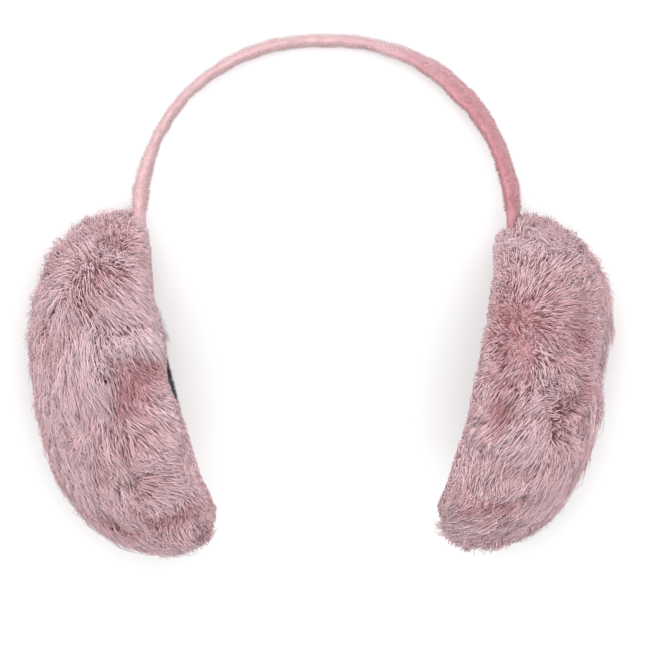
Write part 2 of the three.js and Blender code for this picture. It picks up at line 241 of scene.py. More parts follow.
# Sleeve along the band: at is the share of the way from the crown (0) to a leg's end (1, or -1 on the
# left). thick is a share of the thickness, wide of the width, twist is in degrees, and inward moves
# the sleeve to the head's side by a share of the thickness.
SLEEVE = [
    {"at": -1.0, "thick": 1.2, "wide": 0.8, "twist": 0, "inward": 0},
    {"at": -0.86, "thick": 1.45, "wide": 0.95, "twist": -3, "inward": 0},
    {"at": -0.74, "thick": 1.4, "wide": 1.0, "twist": -3, "inward": 0},
    {"at": -0.62, "thick": 0.98, "wide": 1.0, "twist": -1, "inward": 0.1},
    {"at": -0.4, "thick": 0.92, "wide": 1.0, "twist": 0, "inward": 0.15},
    {"at": -0.15, "thick": 1.08, "wide": 0.98, "twist": 0, "inward": 0},
    {"at": 0.1, "thick": 1.1, "wide": 0.98, "twist": 1, "inward": 0},
    {"at": 0.2, "thick": 1.12, "wide": 1.0, "twist": 8, "inward": 0.1},
    {"at": 0.32, "thick": 1.2, "wide": 1.02, "twist": 14, "inward": 0.2},
    {"at": 0.43, "thick": 1.3, "wide": 1.04, "twist": 17, "inward": 0.35},
    {"at": 0.52, "thick": 1.25, "wide": 1.02, "twist": 15, "inward": 0.3},
    {"at": 0.64, "thick": 1.2, "wide": 1.0, "twist": 13, "inward": 0.2},
    {"at": 0.78, "thick": 1.35, "wide": 1.0, "twist": 10, "inward": 0},
    {"at": 0.88, "thick": 1.4, "wide": 0.95, "twist": 6, "inward": 0},
    {"at": 1.0, "thick": 1.2, "wide": 0.8, "twist": 0, "inward": 0},
]

# Soft gathers across the sleeve: tall is a share of the thickness, long of half the band.
GATHERS = [
    {"at": -0.79, "tall": 0.1, "long": 0.03},
    {"at": -0.68, "tall": 0.08, "long": 0.03},
    {"at": 0.4, "tall": 0.12, "long": 0.03},
    {"at": 0.47, "tall": 0.16, "long": 0.03},
    {"at": 0.55, "tall": 0.1, "long": 0.03},
    {"at": 0.74, "tall": 0.1, "long": 0.04},
]

# The pad's inner side from the rim's bulge to the middle: out is a share of the half height and
# half depth, rise a share of the rim's height above its crest.
INNER_SIDE = [
    {"out": 1.0, "rise": 1.0},
    {"out": 0.985, "rise": 0.6},
    {"out": 0.945, "rise": 0.24},
    {"out": 0.87, "rise": 0.03},
    {"out": 0.79, "rise": 0.06},
    {"out": 0.7, "rise": 0.1},
    {"out": 0.35, "rise": -0.25},
]

# Whorls that the fur springs from on a pad's front: down is a share of the half height, out of the
# pad's thickness, reach is in millimetres and strength is how fully the fur turns away from them.
LEFT_WHORLS = [
    {"down": -0.74, "out": 0.42, "reach": 26, "strength": 0.95},
]
RIGHT_WHORLS = [
    {"down": -0.34, "out": 0.37, "reach": 36, "strength": 0.92},
    {"down": 0.01, "out": 0.74, "reach": 14, "strength": 0.7},
]

# Spots on a pad's front, placed as the whorls are: fall and spread push the fur down the pad and
# away from the head there, long and tall are shares of its length and height, and tone shifts its
# colour: below 0 as painted shade in partings, dips and the lower fold, above 0 as painted light on
# raised tufts and towards the pad's top. Fur that would lie over a spot where long is under 1 ends
# short of it.
FUR_COLUMNS = ("down", "out", "reach", "fall", "spread", "long", "tall", "tone")
LEFT_FUR = [
    (0.93, 0.1, 14, 0.3, -0.1, 0.8, 0.95, 0.0),
    (-0.97, 0.3, 20, 0, 0, 0.75, 0.8, 0.08),
    (-0.74, 0.42, 6, 0, 0, 0.95, 1.15, 0.06),
    (-0.53, 0.24, 12, 0.1, -0.5, 1.0, 1.0, 0.04),
    (-0.29, 0.27, 11, 0.3, -0.8, 1.2, 1.25, 0.13),
    (-0.32, 0.43, 11, 0.7, -0.5, 1.25, 1.3, 0.13),
    (-0.6, 0.62, 9, 0.5, 0.0, 1.1, 1.1, 0.04),
    (-0.5, 0.68, 6, 0.6, 0.0, 1.0, 0.92, -0.32),
    (-0.12, 0.12, 4, 0.7, -0.3, 0.5, 0.6, -0.7),
    (-0.14, 0.25, 5, 0.9, -0.1, 0.5, 0.6, -0.7),
    (-0.12, 0.38, 5, 1.0, 0.0, 0.5, 0.6, -0.65),
    (-0.03, 0.47, 5, 1.0, 0.0, 0.5, 0.6, -0.6),
    (0.07, 0.51, 5, 1.0, -0.1, 0.6, 0.7, -0.45),
    (0.25, 0.53, 6, 1.0, -0.2, 0.8, 0.85, -0.25),
    (0.02, 0.3, 9, 0.7, -0.6, 1.1, 0.85, -0.15),
    (0.3, 0.2, 20, 0.3, -0.6, 1.1, 1.0, 0.0),
    (0.1, 0.65, 11, 0.6, 0.1, 1.2, 1.12, 0.08),
    (0.0, 0.85, 26, 0.3, 0.45, 1.0, 1.0, 0.04),
    (0.61, 0.92, 5, 0.5, 0.1, 0.6, 0.7, -0.6),
    (0.71, 0.7, 5, 0.5, 0.0, 0.6, 0.7, -0.65),
    (0.77, 0.48, 5, 0.5, 0.0, 0.6, 0.7, -0.65),
    (0.79, 0.3, 5, 0.5, 0.0, 0.6, 0.7, -0.6),
    (0.97, 0.25, 4, 0.4, 0.0, 0.7, 0.7, -0.5),
]
RIGHT_FUR = [
    (0.93, 0.1, 14, 0.3, -0.1, 0.8, 0.95, 0.0),
    (-0.9, 0.35, 24, -0.4, 0.2, 0.8, 0.85, 0.1),
    (-0.34, 0.37, 5, 0, 0, 0.85, 0.95, -0.3),
    (-0.42, 0.3, 4, 0, -0.2, 0.7, 0.7, -0.6),
    (-0.23, 0.38, 4, 0.4, -0.2, 0.65, 0.6, -0.5),
    (-0.08, 0.42, 4, 0.6, -0.2, 0.65, 0.6, -0.5),
    (0.05, 0.44, 4, 0.6, -0.2, 0.75, 0.8, -0.45),
    (-0.41, 0.6, 15, 0, 0.1, 0.85, 0.9, -0.32),
    (-0.35, 0.75, 7, 0, 0, 0.75, 0.85, -0.3),
    (0.01, 0.74, 8, 0, 0, 0.8, 0.9, -0.3),
    (0.11, 0.87, 5, 0.3, 0.2, 0.75, 0.75, -0.5),
    (-0.1, 0.98, 5, 0.2, 0.2, 0.75, 0.7, -0.5),
    (-0.32, 1.0, 14, 0, 0, 0.6, 0.45, -0.05),
    (0.14, 0.45, 4, 0.4, -0.3, 0.85, 0.9, -0.6),
    (0.3, 0.14, 22, 0.3, -0.6, 1.1, 1.0, 0.0),
    (0.45, 0.75, 26, 0.3, 0.35, 1.0, 1.0, 0.03),
    (0.66, 0.52, 5, 0.2, -0.3, 0.8, 0.85, -0.6),
    (0.62, 0.62, 5, 0.2, -0.3, 0.8, 0.9, -0.3),
]

# Each pad's thickness from its rim's plane before the fur, the rim's place, its height as a share of
# the left one's, the tilt of its lower end in degrees, its bulge's skew, how far the fur of its rim
# covers the lining, how fully it parts at the slit and the way its fur lies.
PADS = {
    "left": {"side": -1, "thickness": 52.5, "rim": RIM_HALF_GAP, "tall": 1.0, "tilt": 13.8, "skew": 0.08,
             "cover": 1.9, "slit": 0.85, "seed": 11, "whorls": LEFT_WHORLS, "fur": LEFT_FUR},
    "right": {"side": 1, "thickness": 49.2, "rim": RIM_HALF_GAP - RIGHT_RIM_NEARER, "tall": 0.965,
              "tilt": 12.0, "skew": -0.01, "cover": 2.8, "slit": 0.0, "seed": 23,
              "whorls": RIGHT_WHORLS, "fur": RIGHT_FUR},
}

# The photograph: its size in pixels, a pixel's size at the object and where the band's crown is in it.
PHOTO_SIZE = 665
PIXEL = 0.39
CROWN_PIXEL = (326.0, 40.4)
CAMERA_DISTANCE = 3.0
SENSOR = 36.0


def rising(values, start, over):
    """0 up to a start, then evenly up to 1 over a stretch."""
    return np.clip((values - start) / over, 0, 1)


def eased(share):
    return share * share * (3 - 2 * share)


def sleeve_at(at, name):
    """A column of the sleeve's table at places along the band, smoothly between its rows."""
    places = np.array([row["at"] for row in SLEEVE])
    values = np.array([row[name] for row in SLEEVE], float)
    at = np.clip(at, places[0], places[-1])
    i = np.clip(np.searchsorted(places, at) - 1, 0, len(places) - 2)
    share = (at - places[i]) / (places[i + 1] - places[i])
    return values[i] + (values[i + 1] - values[i]) * eased(share)


def unit(v):
    return v / np.maximum(np.linalg.norm(v, axis=-1, keepdims=True), 1e-9)


def ripple(points, spread, rng):
    """Smooth noise at points, of about a share up and down, with features of about a size."""
    share, size = spread
    total = np.zeros(len(points))
    for _ in range(RIPPLE_WAVES):
        way = unit(rng.normal(size=3)) * 2 * math.pi / (size * rng.uniform(*RIPPLE_SIZES))
        total += np.sin(points @ way + rng.uniform(0, 2 * math.pi))
    return share * (total / 3.0)


def ring_faces(rings, count):
    """Quads between rings of count points each, numbered ring by ring."""
    i, j = np.meshgrid(np.arange(rings - 1), np.arange(count), indexing="ij")
    near = i * count
    after = (j + 1) % count
    return np.stack([near + j, near + after, near + count + after, near + count + j], axis=-1).reshape(-1, 4)


def closed_rings(surface, rings, count):
    """Rings of points with a pole added at each end, and the triangles over them all."""
    poles = np.stack([surface[:count].mean(axis=0), surface[-count:].mean(axis=0)])
    quads = ring_faces(rings, count)
    around = np.arange(count)
    after = (around + 1) % count
    last = (rings - 1) * count
    first_cap = np.stack([after, around, np.full(count, len(surface))], 1)
    last_cap = np.stack([last + around, last + after, np.full(count, len(surface) + 1)], 1)
    triangles = np.concatenate([quads[:, [0, 1, 2]], quads[:, [0, 2, 3]], first_cap, last_cap])
    return np.concatenate([surface, poles]), triangles


def piece(name, points, faces, material, uv=None):
    """A smooth mesh object in the row's frame from millimetre points, riding on the root body."""
    mesh = bpy.data.meshes.new(name)
    mesh.vertices.add(len(points))
    mesh.vertices.foreach_set("co", np.ascontiguousarray(points * MM, dtype=np.float32).ravel())
    mesh.loops.add(faces.size)
    mesh.loops.foreach_set("vertex_index", faces.astype(np.int32).ravel())
    mesh.polygons.add(len(faces))
    mesh.polygons.foreach_set("loop_start", np.arange(0, faces.size, faces.shape[1], dtype=np.int32))
    mesh.polygons.foreach_set("use_smooth", np.ones(len(faces), dtype=bool))
    mesh.update(calc_edges=True)
    mesh.validate()
    if uv is not None:
        layer = mesh.uv_layers.new(name="OFBake")
        layer.data.foreach_set("uv", uv[faces.ravel()].astype(np.float32).ravel())
    mesh.materials.append(material)
    made = bpy.data.objects.new(name, mesh)
    bpy.context.scene.collection.objects.link(made)
    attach(made, "root")
    return made


# Headband

def band_path(rings):
    """Points of the band's centreline at equal steps from the left leg's end to the right one's."""
    power = 2 / ARCH_EXPONENT
    angle = np.linspace(-math.pi / 2, math.pi / 2, ARCH_STEPS)
    x = ARCH_HALF_WIDTH * np.sign(angle) * np.abs(np.sin(angle)) ** power
    y = ARCH_HEIGHT * (np.maximum(np.cos(angle), 0) ** power - 1)
    low = -ARCH_HEIGHT - LEG_LENGTH
    dense = np.vstack([[-ARCH_HALF_WIDTH, low], np.stack([x, y], 1), [ARCH_HALF_WIDTH, low]])
    lengths = np.concatenate([[0], np.cumsum(np.linalg.norm(np.diff(dense, axis=0), axis=1))])
    wanted = np.linspace(0, lengths[-1], rings)
    return np.stack([np.interp(wanted, lengths, dense[:, k]) for k in range(2)], 1)


def band_surface(rings, sides, folds=True):
    """Rings of points round the band, and the outward direction at each, both rings by sides."""
    path = band_path(rings)
    at = np.linspace(-1, 1, rings)
    along = unit(np.gradient(path, axis=0))
    outward = np.stack([-along[:, 1], along[:, 0], 0 * at], 1)
    front = np.array([0.0, 0.0, 1.0])
    twist = np.radians(sleeve_at(at, "twist"))[:, None]
    thin = outward * np.cos(twist) + front * np.sin(twist)
    wide = front * np.cos(twist) - outward * np.sin(twist)
    gather = sum(f["tall"] * np.exp(-(((at - f["at"]) / f["long"]) ** 2)) for f in GATHERS)
    half_thickness = BAND_THICKNESS / 2 * (sleeve_at(at, "thick") + gather)
    half_width = BAND_WIDTH / 2 * sleeve_at(at, "wide")
    angle = (np.arange(sides) + 0.5) / sides * 2 * math.pi
    c, s = np.cos(angle), np.sin(angle)
    across = half_width[:, None] * np.sign(c) * np.abs(c) ** SECTION_POWER
    through = half_thickness[:, None] * np.sign(s) * np.abs(s) ** SECTION_POWER
    centre = np.concatenate([path, np.zeros((rings, 1))], 1)
    centre -= outward * (BAND_THICKNESS * sleeve_at(at, "inward"))[:, None]
    across_way = wide[:, None] * (c / BAND_WIDTH)[None, :, None]
    through_way = thin[:, None] * (s / BAND_THICKNESS)[None, :, None]
    normal = unit(across_way + through_way)
    points = centre[:, None] + wide[:, None] * across[..., None] + thin[:, None] * through[..., None]
    if folds:
        points = points + normal * sleeve_folds(points, normal, outward, at)
    return points, normal


def sleeve_folds(points, normal, outward, at):
    """How far the cloth stands out at the sleeve's points: soft folds, and puckers at the shoulders."""
    rng = np.random.default_rng(5)
    flat = points.reshape(-1, 3)
    soft = sum(ripple(flat, fold, rng) for fold in SLEEVE_FOLDS)
    inward = np.clip(-np.sum(normal * outward[:, None], axis=2), 0, 1)
    shoulder = np.exp(-(((np.abs(at) - SHOULDER_AT) / SHOULDER_REACH) ** 2))
    waves = shoulder * np.maximum(np.sin(at * PUCKER_WAVES), PUCKER_FLOOR)
    return (soft.reshape(inward.shape) + PUCKER_HEIGHT * waves[:, None] * inward)[..., None]


def band_lean():
    """The lean, and the shift after it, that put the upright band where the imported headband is."""
    points = band_surface(PACKED_BAND_RINGS, PACKED_BAND_SIDES, folds=False)[0].reshape(-1, 3)
    low_corner, high_corner = (np.array(corner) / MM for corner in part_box("headband"))
    low, high = (math.radians(angle) for angle in LEAN_RANGE)
    for _ in range(LEAN_HALVINGS):
        angle = (low + high) / 2
        leaned = points @ lean_matrix(angle).T
        tall = np.ptp(leaned[:, 2]) - BAND_PRESS
        if tall < high_corner[2] - low_corner[2]:
            low = angle
        else:
            high = angle
    leaned = points @ lean_matrix(angle).T
    shift = high_corner - leaned.max(axis=0)
    return lean_matrix(angle), shift


def lean_matrix(angle):
    c, s = math.cos(angle), math.sin(angle)
    return np.array([[1, 0, 0], [0, c, s], [0, -s, c]])


LEAN, SHIFT = band_lean()


def laid(points):
    """Upright points in the row's frame, in millimetres."""
    return points @ LEAN.T + SHIFT


def laid_way(way):
    return way @ LEAN.T


def above_floor(points, rng):
    """Points that the floor presses: what would be under it lies on it instead, pushed outward."""
    under = np.maximum(STRAND_FLOOR - points[..., 2], 0)
    pressed = points.copy()
    lying = STRAND_FLOOR + rng.uniform(0, FLOOR_LOFT, under.shape)
    pressed[..., 2] = np.where(under > 0, lying, points[..., 2])
    middle = np.array([np.mean(points[..., 0]), np.mean(points[..., 1])])
    pressed[..., :2] += FLOOR_SPREAD * under[..., None] * unit(points[..., :2] - middle)
    return pressed


# Pads, in pad space: x down the pad, y to the front, z out from the rim's plane

def bend(points, pad):
    down = points[..., 0] / PAD_HALF_HEIGHT
    high = np.clip((points[..., 2] - RIM_HEIGHT) / (pad["thickness"] - RIM_HEIGHT), 0, 1)
    sag = FACE_SAG * (1 - np.minimum(down * down, 1)) * (1 - high)
    z = points[..., 2] * (1 + pad["skew"] * down * high) + sag
    return np.stack([points[..., 0], points[..., 1], z], -1)


def pad_surface(pad, segments, inner_rows):
    """Rings of points over the pad's smooth body, from its outer pole round the rim to its middle."""
    power = 2 / DOME_EXPONENT
    angle = np.linspace(POLE_ANGLE, math.pi / 2, DOME_ROWS)
    out = list(np.sin(angle) ** power)
    z = list(RIM_HEIGHT + (pad["thickness"] - RIM_HEIGHT) * np.maximum(np.cos(angle), 0) ** power)
    rows = np.arange(len(INNER_SIDE))
    finer = np.linspace(0, len(INNER_SIDE) - 1, inner_rows)[1:]
    out += list(np.interp(finer, rows, [row["out"] for row in INNER_SIDE]))
    z += list(RIM_HEIGHT * np.interp(finer, rows, [row["rise"] for row in INNER_SIDE]))
    around = np.arange(segments) / segments * 2 * math.pi
    x = PAD_HALF_HEIGHT * np.outer(out, np.cos(around))
    y = PAD_HALF_DEPTH * np.outer(out, np.sin(around))
    return bend(np.stack([x, y, np.repeat(np.array(z)[:, None], segments, 1)], -1), pad)


def pad_place(points, pad):
    """Pad space to upright space."""
    side = pad["side"]
    c, s = math.cos(PAD_TOE), math.sin(PAD_TOE)
    toed = points @ np.array([[pad["tall"], 0, 0], [0, c, -s], [0, s, c]])
    tilt = math.radians(pad["tilt"])
    c, s = math.cos(tilt), math.sin(tilt)
    turn = np.array([[-side * s, -c, 0], [0, 0, 1], [side * c, -s, 0]])
    return toed @ turn + np.array([side * pad["rim"], -PAD_DROP, 0])


def pad_way(way, pad):
    return pad_place(way, pad) - pad_place(np.zeros(3), pad)


def fur_roots(pad, count, rng):
    """Points spread evenly over the furred part of a pad, with their normals."""
    rows = pad_surface(pad, ROOT_SEGMENTS, ROOT_INNER_ROWS)[:-BARE_ROWS]
    a, b = rows[:-1], np.roll(rows, -1, axis=1)[:-1]
    c, d = np.roll(rows, -1, axis=1)[1:], rows[1:]
    corners = np.concatenate([np.stack(half, 2).reshape(-1, 3, 3) for half in ([a, b, c], [a, c, d])])
    cross = np.cross(corners[:, 1] - corners[:, 0], corners[:, 2] - corners[:, 0])
    area = np.linalg.norm(cross, axis=1)
    pick = rng.choice(len(corners), count, p=area / area.sum())
    u, v = rng.random((2, count))
    flip = u + v > 1
    u, v = np.where(flip, 1 - u, u), np.where(flip, 1 - v, v)
    chosen = corners[pick]
    along, across = chosen[:, 1] - chosen[:, 0], chosen[:, 2] - chosen[:, 0]
    points = chosen[:, 0] + u[:, None] * along + v[:, None] * across
    normals = unit(cross[pick])
    inside = np.array([0, 0, 1.4 * RIM_HEIGHT])
    return points, normals * np.sign(np.mean(np.sum(normals * (points - inside), axis=1)))


def on_front(row, points, thickness):
    """A table row's place on the pad's front, mirrored to the back for points there."""
    x = row["down"] * PAD_HALF_HEIGHT
    z = row["out"] * thickness
    high = abs((z - RIM_HEIGHT) / (thickness - RIM_HEIGHT)) ** DOME_EXPONENT
    across = max((1 - high) ** (2 / DOME_EXPONENT) - row["down"] ** 2, 0.05)
    y = PAD_HALF_DEPTH * math.sqrt(across) * np.where(points[:, 1] < 0, -1, 1)
    return np.stack([np.full(len(points), x), y, np.full(len(points), z)], 1)


def spots(pad):
    """The rows of a pad's table of fur, by the names of their columns."""
    return [dict(zip(FUR_COLUMNS, row)) for row in pad["fur"]]


def closeness(row, points, thickness):
    """How near points are to a table row's place, from 1 there down to 0."""
    away = points - on_front(row, points, thickness)
    return np.exp(-((np.linalg.norm(away, axis=1) / row["reach"]) ** 2))


def fur_field(points, normals, pad, rng):
    """How the fur lies at roots: its way along the surface, and its length, height and tone shares."""
    thickness = pad["thickness"]
    way = np.tile(FUR_FLOW, (len(points), 1))
    for row in pad["whorls"]:
        away = points - on_front(row, points, thickness)
        gap = np.linalg.norm(away, axis=1)
        near = (row["strength"] * np.exp(-((gap / row["reach"]) ** 2)))[:, None]
        outward = unit(away) * np.minimum(1, gap / (STANDING_SHARE * row["reach"]))[:, None]
        way = (way * (1 - near) + outward * near) * (1 - STANDING * near)
    for row in spots(pad):
        near = closeness(row, points, thickness)
        way = way + near[:, None] * np.array([row["fall"], 0, row["spread"]])
    way = way / np.maximum(np.linalg.norm(way, axis=1, keepdims=True), 1)
    for wave in FLOW_WAVES:
        way = way + np.stack([ripple(points, wave, rng) for _ in range(3)], 1)
    low = rising(points[:, 0] / PAD_HALF_HEIGHT, END_FROM, END_OVER)
    way = (way - normals * np.sum(way * normals, axis=1, keepdims=True)) * (1 - END_STANDING * low)[:, None]
    length = np.ones(len(points))
    height = 1 - (1 - END_HEIGHT) * low
    tone = np.zeros(len(points))
    for row in spots(pad):
        near = closeness(row, points, thickness)
        length *= 1 + (row["long"] - 1) * near
        height *= 1 + (row["tall"] - 1) * near
        # The table's tone adds painted shade in partings and dips and painted light on raised tufts.
        tone += row["tone"] * near
    return way, ending(points, way, pad, length), height, tone


def ending(points, way, pad, length):
    """Length shares of fur that ends short of the partings that it would lie over."""
    over = np.ones(len(points))
    for row in spots(pad):
        parting = min(1, 2 * (1 - row["long"]))
        if parting <= 0 or row["reach"] > 2 * PARTING_REACH:
            continue
        rooted = closeness(row, points, pad["thickness"])
        for share in PARTING_STOPS:
            met = closeness(row, points + way * share * FUR_LAYERS[0]["length"], pad["thickness"])
            met = np.clip(PARTING_GAIN * met - PARTING_START, 0, 1) * (1 - rooted) * parting
            over = np.minimum(over, 1 - met * (1 - share * PARTING_SHARE))
    return length * over


def lining_cover(down, pad):
    """How far the rim's fur covers the lining at places down the pad, less at its slit."""
    middle = np.maximum(1 - (down / LINING_SHARE) ** 2, 0)
    return pad["cover"] * middle * (1 - pad["slit"] * np.exp(-(((down - SLIT_PLACE) / SLIT_REACH) ** 2)))


def trimmed(points, normals, way, length, height, pad):
    """Strand lengths cut back where the tips would reach past the rim towards the head."""
    tip = points[:, 2] + way[:, 2] * length + normals[:, 2] * height
    down = points[:, 0] / PAD_HALF_HEIGHT
    rim = FACE_SAG * (1 - down**2) - RIM_TRIM - END_TRIM * rising(down, END_TRIM_FROM, END_TRIM_OVER)
    rim -= lining_cover(down, pad)
    past = points[:, 2] - tip
    share = np.where(tip < rim, (points[:, 2] - rim) / np.maximum(past, 0.1), 1)
    return length * np.clip(share, SHORTEST_TRIM, 1)


def strand_paths(points, normals, way, length, height, shares):
    """Points along strands that rise from their roots and lie over: strands by shares by 3."""
    flat = np.linalg.norm(way, axis=1, keepdims=True)
    lie = way * np.minimum(1, 1 / np.maximum(flat, 1e-6))
    stand = 1 - np.minimum(flat, 1)
    path = []
    for share in shares:
        rise = height[:, None] * (1 + STAND_GAIN * stand) * (RISE * share - FALL * share**FALL_POWER)
        drop = (length[:, None] * share) ** 2 / DROOP * np.minimum(flat, 1)
        path.append(points + lie * length[:, None] * share + normals * (rise - drop - ROOT_DEPTH))
    return np.stack(path, 1)


def closest(points, centres):
    """The index of the nearest centre to each point."""
    at_once = 2000
    best = np.empty(len(points), int)
    for start in range(0, len(points), at_once):
        part = points[start : start + at_once]
        gap = np.sum(part**2, 1)[:, None] - 2 * part @ centres.T + np.sum(centres**2, 1)[None]
        best[start : start + at_once] = np.argmin(gap, axis=1)
    return best


def strand_mesh(path, radius, tone, rng):
    """Closed tapered strands: a root, a ring of three at each middle share, and a tip."""
    count, stops = path.shape[:2]
    rings = stops - 2
    size = 2 + 3 * rings
    points = np.empty((count, size, 3))
    uv = np.empty((count, size, 2))
    shares = np.linspace(0, 1, stops)
    points[:, 0] = path[:, 0]
    points[:, -1] = path[:, -1]
    uv[:, 0] = np.stack([tone, np.zeros(count)], 1)
    uv[:, -1] = np.stack([tone, np.ones(count)], 1)
    roll = rng.uniform(0, 2 * math.pi, count)
    for k in range(rings):
        along = unit(path[:, k + 2] - path[:, k])
        side = unit(np.cross(along, STRAND_CROSS))
        up = np.cross(along, side)
        thick = radius * (1.0 - STRAND_TAPER * k)
        for j in range(3):
            angle = roll + j * 2 * math.pi / 3
            offset = side * np.cos(angle)[:, None] + up * np.sin(angle)[:, None]
            points[:, 1 + 3 * k + j] = path[:, k + 1] + offset * thick[:, None]
            uv[:, 1 + 3 * k + j] = np.stack([tone + CORNER_TONE * j, np.full(count, shares[k + 1])], 1)
    faces = []
    for j in range(3):
        after = (j + 1) % 3
        faces.append([0, 1 + after, 1 + j])
        for k in range(rings - 1):
            low, high = 1 + 3 * k, 4 + 3 * k
            faces.append([low + j, low + after, high + after])
            faces.append([low + j, high + after, high + j])
        faces.append([size - 1, size - 4 + j, size - 4 + after])
    faces = (np.arange(count) * size)[:, None, None] + np.array(faces)[None]
    return points.reshape(-1, 3), faces.reshape(-1, 3), uv.reshape(-1, 2)


def outside_band(points, pad):
    """Roots of a pad that don't lie where the band's leg goes in."""
    placed = pad_place(points, pad)
    in_width = np.abs(placed[:, 2]) < BAND_WIDTH / 2 + 0.5
    in_thickness = np.abs(placed[:, 0] - pad["side"] * ARCH_HALF_WIDTH) < BAND_THICKNESS
    return ~(in_width & in_thickness)


def pad_tufts(pad, rng):
    """Where a pad's tufts stand, and each one's way, height and tone."""
    return {
        "places": fur_roots(pad, TUFTS, rng)[0],
        "way": rng.normal(0, TUFT_SCATTER, (TUFTS, 3)),
        "height": rng.uniform(*TUFT_HEIGHTS, TUFTS),
        "tone": rng.normal(0, GROUP_TONE, TUFTS),
    }


def grown(points, normals, layer, scatter, pad, tufts, rng):
    """The paths and tones of a layer's strands from their roots."""
    field_rng = np.random.default_rng(pad["seed"] + 100)
    way, length, height, tone = fur_field(points, normals, pad, field_rng)
    tuft = closest(points, tufts["places"])
    full = eased(rising(normals[:, 2], EDGE_FACING, FACING_OVER))
    length = length * (EDGE_LENGTH + (layer["length"] - EDGE_LENGTH) * full)
    edge = EDGE_HEIGHT + lining_cover(points[:, 0] / PAD_HALF_HEIGHT, pad)
    height = height * (edge + (layer["height"] - edge) * full) * tufts["height"][tuft]
    length *= rng.normal(1, LENGTH_SCATTER, len(points)).clip(*LENGTH_ENDS)
    height *= rng.normal(1, HEIGHT_SCATTER, len(points)).clip(*HEIGHT_ENDS)
    jitter = rng.normal(0, scatter, way.shape) + tufts["way"][tuft]
    way = layer["lie"] * (way + jitter - normals * np.sum(jitter * normals, axis=1, keepdims=True))
    length = trimmed(points, normals, way, length, height, pad)
    path = strand_paths(points, normals, way, length, height, layer["shares"])
    return path, tone + tufts["tone"][tuft]


def fur_layer(pad, layer, guides, guide_tone, tufts, rng):
    """A layer's strands in the row's frame, gathered into clumps: paths, thicknesses and tones."""
    points, normals = fur_roots(pad, layer["strands"], rng)
    guide_path, _ = grown(*guides, layer, GUIDE_SCATTER, pad, tufts, rng)
    path, tone = grown(points, normals, layer, layer["scatter"], pad, tufts, rng)
    keep = outside_band(points, pad)
    points, path, tone = points[keep], path[keep], tone[keep]
    owner = closest(points, guides[0])
    reach = np.linalg.norm(points - guides[0][owner], axis=1)
    pull = layer["gather"] * np.exp(-((reach / CLUMP_REACH) ** 2))
    for k, share in enumerate(layer["shares"]):
        path[:, k] += (guide_path[owner, k] - path[:, k]) * (pull * share**CLUMP_POWER)[:, None]
    shade = FUR_TONE + tone + guide_tone[owner] + ripple(points, TONE_CLOUDS, rng)
    shade += rng.normal(0, TONE_SCATTER, len(points))
    placed = laid(pad_place(path.reshape(-1, 3), pad)).reshape(path.shape)
    thick = layer["radius"] * rng.uniform(*THICKNESS_ENDS, len(points))
    return above_floor(placed, rng), thick, np.clip(shade, *TONE_ENDS)


def pad_fur(name, pad):
    """The guard hair and the undercoat of one pad, in pieces of equal size."""
    rng = np.random.default_rng(pad["seed"])
    guides = fur_roots(pad, CLUMPS, rng)
    tufts = pad_tufts(pad, rng)
    guide_tone = rng.normal(0, GROUP_TONE, CLUMPS)
    parts = [fur_layer(pad, layer, guides, guide_tone, tufts, rng) for layer in FUR_LAYERS]
    order = [rng.permutation(len(part[0])) for part in parts]
    for k in range(PIECES_PER_PAD):
        points, faces, uvs, start = [], [], [], 0
        for (path, thick, shade), shuffled in zip(parts, order):
            chosen = shuffled[k::PIECES_PER_PAD]
            made = strand_mesh(path[chosen], thick[chosen], shade[chosen], rng)
            points.append(made[0])
            faces.append(made[1] + start)
            uvs.append(made[2])
            start += len(made[0])
        points, faces, uvs = (np.concatenate(arrays) for arrays in (points, faces, uvs))
        fur = piece(f"{name}_ear_fur_{k + 1}", points, faces, FUR, uvs)
        if k == 0:
            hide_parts(f"{name}_ear_fur")


def pad_backing(name, pad):
    """The padded body under the fur, flat where it rests on the floor."""
    grid = pad_surface(pad, BODY_SEGMENTS, BODY_INNER_ROWS)
    rows, count = grid.shape[:2]
    share = np.hypot(grid[..., 0] / PAD_HALF_HEIGHT, grid[..., 1] / PAD_HALF_DEPTH) / LINING_SHARE
    behind = lining_height(grid[..., 0], np.minimum(share, 1)) + LINING_THICKNESS
    pocket = (share < POCKET_SHARE) & (np.arange(rows) >= DOME_ROWS)[:, None]
    grid[..., 2] = np.where(pocket, np.maximum(grid[..., 2], behind), grid[..., 2])
    surface = laid(pad_place(grid.reshape(-1, 3), pad))
    surface[:, 2] = np.maximum(surface[:, 2], FLOOR_GAP)
    points, triangles = closed_rings(surface, rows, count)
    if pad["side"] > 0:
        triangles = triangles[:, ::-1]
    made = piece(f"{name}_ear_backing", points, triangles, BACKING)


def lining_height(x, share):
    down = x / PAD_HALF_HEIGHT
    return LINING_SEAT * RIM_HEIGHT + LINING_CROWN * (share * share - 1) + FACE_SAG * (1 - down * down)


def on_lining(share, angle):
    """Places on a lining, down the pad and to the front, from shares of its size and angles round it."""
    x = PAD_HALF_HEIGHT * LINING_SHARE * share * np.cos(angle)
    y = PAD_HALF_DEPTH * LINING_SHARE * share * np.sin(angle)
    return x, y


def pad_lining(name, pad):
    """The dark panel on the pad's inner side."""
    shares = np.linspace(0.02, 1, LINING_ROWS)
    around = np.arange(LINING_SEGMENTS) / LINING_SEGMENTS * 2 * math.pi
    x, y = on_lining(shares[:, None], around)
    top = lining_height(x, shares[:, None])
    roll = 0.5 * LINING_THICKNESS * rising(shares, LINING_EDGE, 1 - LINING_EDGE) ** 2
    front = np.stack([x, y, top + roll[:, None]], -1)
    back = np.stack([x, y, top + LINING_THICKNESS], -1)[::-1]
    surface = laid(pad_place(np.concatenate([front, back]).reshape(-1, 3), pad))
    points, triangles = closed_rings(surface, 2 * LINING_ROWS, LINING_SEGMENTS)
    if pad["side"] < 0:
        triangles = triangles[:, ::-1]
    made = piece(f"{name}_ear_lining_panel", points, triangles, LINING)
    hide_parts(f"{name}_ear_lining")


